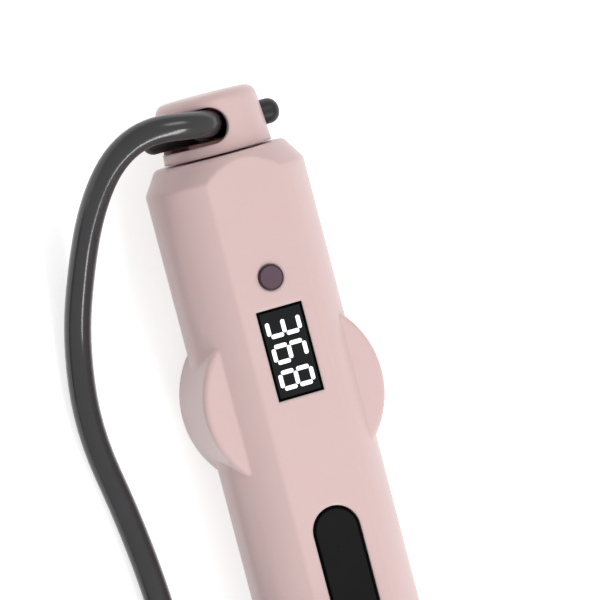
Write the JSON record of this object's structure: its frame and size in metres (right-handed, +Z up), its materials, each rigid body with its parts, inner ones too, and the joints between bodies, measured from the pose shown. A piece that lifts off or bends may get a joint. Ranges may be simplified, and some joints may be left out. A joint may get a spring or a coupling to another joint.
{
  "type": "curling iron",
  "caption": "Round flat-fronted handle with readout, button, rocker and swivelling cord cap, carrying a heated barrel with a sprung clamp and a fold-out stand.",
  "frame": {"origin": "on the handle's back flat, under the centre of the round boss", "axes": "+X along the handle towards the barrel's tip, +Z up out of the back flat towards the display"},
  "size_m": [0.3524, 0.1494, 0.0498],
  "materials": {
    "pink_housing": "satin",
    "black_display": "gloss",
    "led_module": "matte",
    "button_plastic": "satin",
    "rocker_plastic": "gloss",
    "circuit_board": "satin",
    "black_component": "matte",
    "steel": "satin",
    "brass_contact": "satin",
    "heat_guard": "matte",
    "barrel_metal": "satin",
    "clamp_metal": "satin",
    "heater_aluminium": "satin",
    "ceramic_stone": "matte",
    "mica": "matte",
    "wire": "matte",
    "cord_rubber": "satin",
    "swivel_plastic": "satin",
    "strap_fabric": "matte",
    "nickel": "gloss",
    "bar_plastic": "satin"
  },
  "bodies": {
    "handle": {"front_housing": "pink_housing", "rear_cover": "pink_housing", "housing_screws": "steel", "display_window": "black_display", "display_module": "led_module", "control_board": "circuit_board", "board_screws": "steel", "power_switch": "black_component", "rocker_switches": "black_component", "controller_chip": "black_component", "triac": "black_component", "film_capacitor": "mica", "rocker_pin": "steel", "swivel_socket": "swivel_plastic", "contact_brushes": "brass_contact", "heat_guard_collar": "heat_guard", "barrel_tube": "barrel_metal", "barrel_screws": "steel", "cool_tip": "heat_guard", "tip_screws": "steel", "heater_cores": "heater_aluminium", "heating_stones": "ceramic_stone", "mica_sleeve": "mica", "thermistor": "black_component", "thermal_fuse": "brass_contact", "heater_leads": "wire", "pivot_bracket": "steel", "clamp_pivot_pin": "steel", "clamp_spring": "steel", "stand_pin": "steel"},
    "swivel": {"swivel_spindle": "swivel_plastic", "retaining_clip": "steel", "slip_rings": "brass_contact", "swivel_cap": "pink_housing", "cord_crossbar": "bar_plastic", "cord_boot": "cord_rubber", "cord_run": "cord_rubber", "cord_coil": "cord_rubber", "cord_tail": "cord_rubber", "cord_strap": "strap_fabric", "plug_body": "cord_rubber", "plug_pins": "nickel", "plug_sleeves": "black_component", "plug_boot": "cord_rubber"},
    "clamp": {"clamp_plate": "clamp_metal", "thumb_lever": "clamp_metal", "lever_rivets": "steel", "lever_grip": "pink_housing"},
    "button": {"power_button": "button_plastic"},
    "rocker": {"temperature_rocker": "rocker_plastic"},
    "stand": {"stand_leg": "steel"}
  },
  "joints": [
    {"name": "cord_swivel", "type": "hinge", "parent": "handle", "child": "swivel", "pos_m": [-0.0579, 0, 0.0166], "axis": [1, 0, 0], "continuous": true},
    {"name": "power_button_press", "type": "slide", "parent": "handle", "child": "button", "axis": [0, 0, -1], "range_m": [0, 0.0006], "stiffness_N_per_m": 400, "springref_m": -0.0005},
    {"name": "temperature_rocker_tilt", "type": "hinge", "parent": "handle", "child": "rocker", "pos_m": [0.0459, 0, 0.0289], "axis": [0, 1, 0], "range_deg": [-2, 2], "stiffness_Nm_per_rad": 0.5},
    {"name": "clamp_open", "type": "hinge", "parent": "handle", "child": "clamp", "pos_m": [0.1141, 0, 0.0333], "axis": [0, -1, 0], "range_deg": [0, 13], "stiffness_Nm_per_rad": 0.6, "springref_deg": -17.19, "deforming": ["clamp_spring"]},
    {"name": "stand_fold", "type": "hinge", "parent": "handle", "child": "stand", "pos_m": [0.1071, 0, 0.0018], "axis": [0, 1, 0], "range_deg": [0, 105]}
  ]
}
